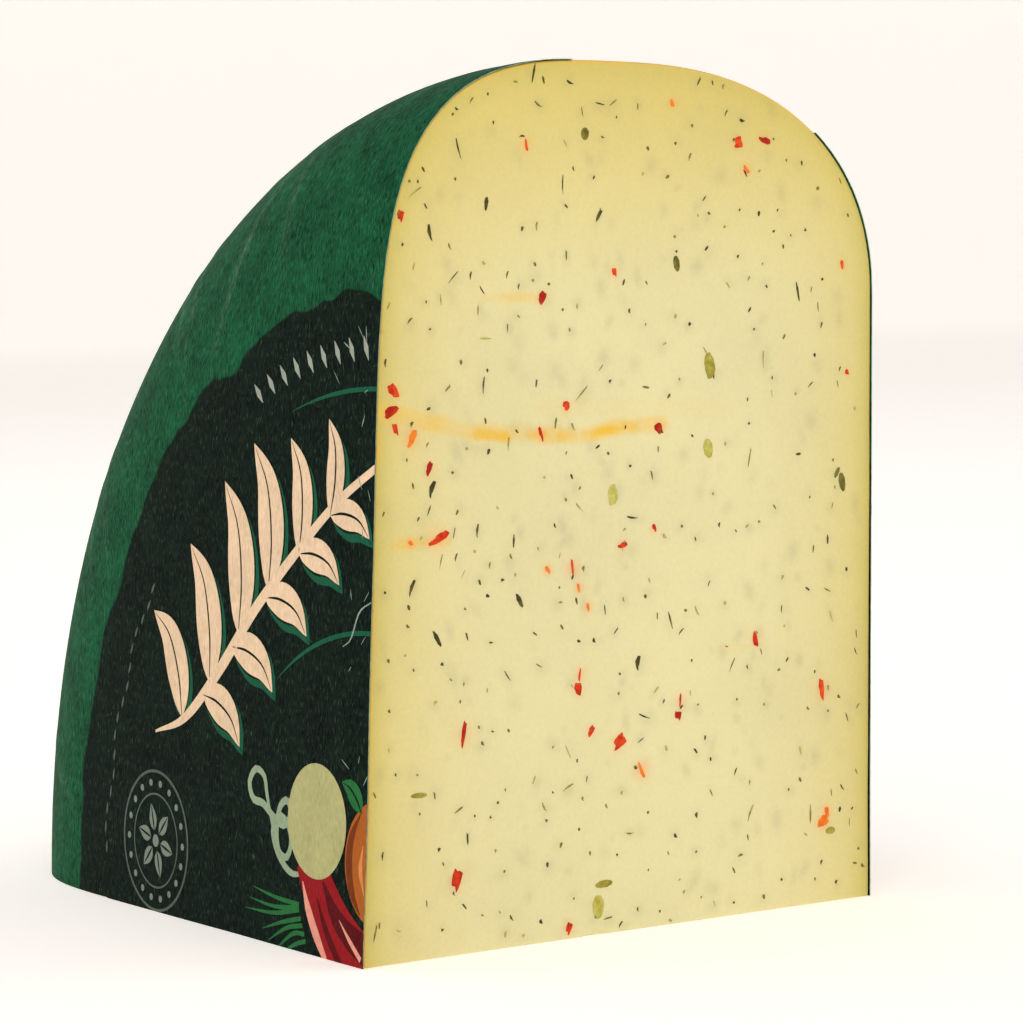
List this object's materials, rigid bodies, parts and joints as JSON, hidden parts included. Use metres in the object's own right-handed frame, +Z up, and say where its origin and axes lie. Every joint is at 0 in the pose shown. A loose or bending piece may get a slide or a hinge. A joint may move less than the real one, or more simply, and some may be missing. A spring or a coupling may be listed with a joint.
{
  "type": "cheese wedge",
  "caption": "Quarter of a round semi-hard cheese with herbs and red pepper, standing on a cut face, with a dark printed sheet on each side.",
  "frame": {"origin": "middle of the box on the surface that the wedge stands on", "axes": "+Z up; the wheel's axis runs along X with the front label on the -X side; the upright cut face looks along -Y"},
  "size_m": [0.0964, 0.1298, 0.1302],
  "materials": {
    "cheese": "smooth waxy cut paste with a thin yellow rind",
    "front_sheet": "satin printed paper with fine fibres and creases",
    "back_sheet": "satin printed paper with fine fibres and creases",
    "herb": "matte dried leaf",
    "pepper": "moist dried pepper flesh"
  },
  "bodies": {
    "root": {"cheese_wedge": "cheese", "front_label": "front_sheet", "back_label": "back_sheet"}
  },
  "joints": []
}
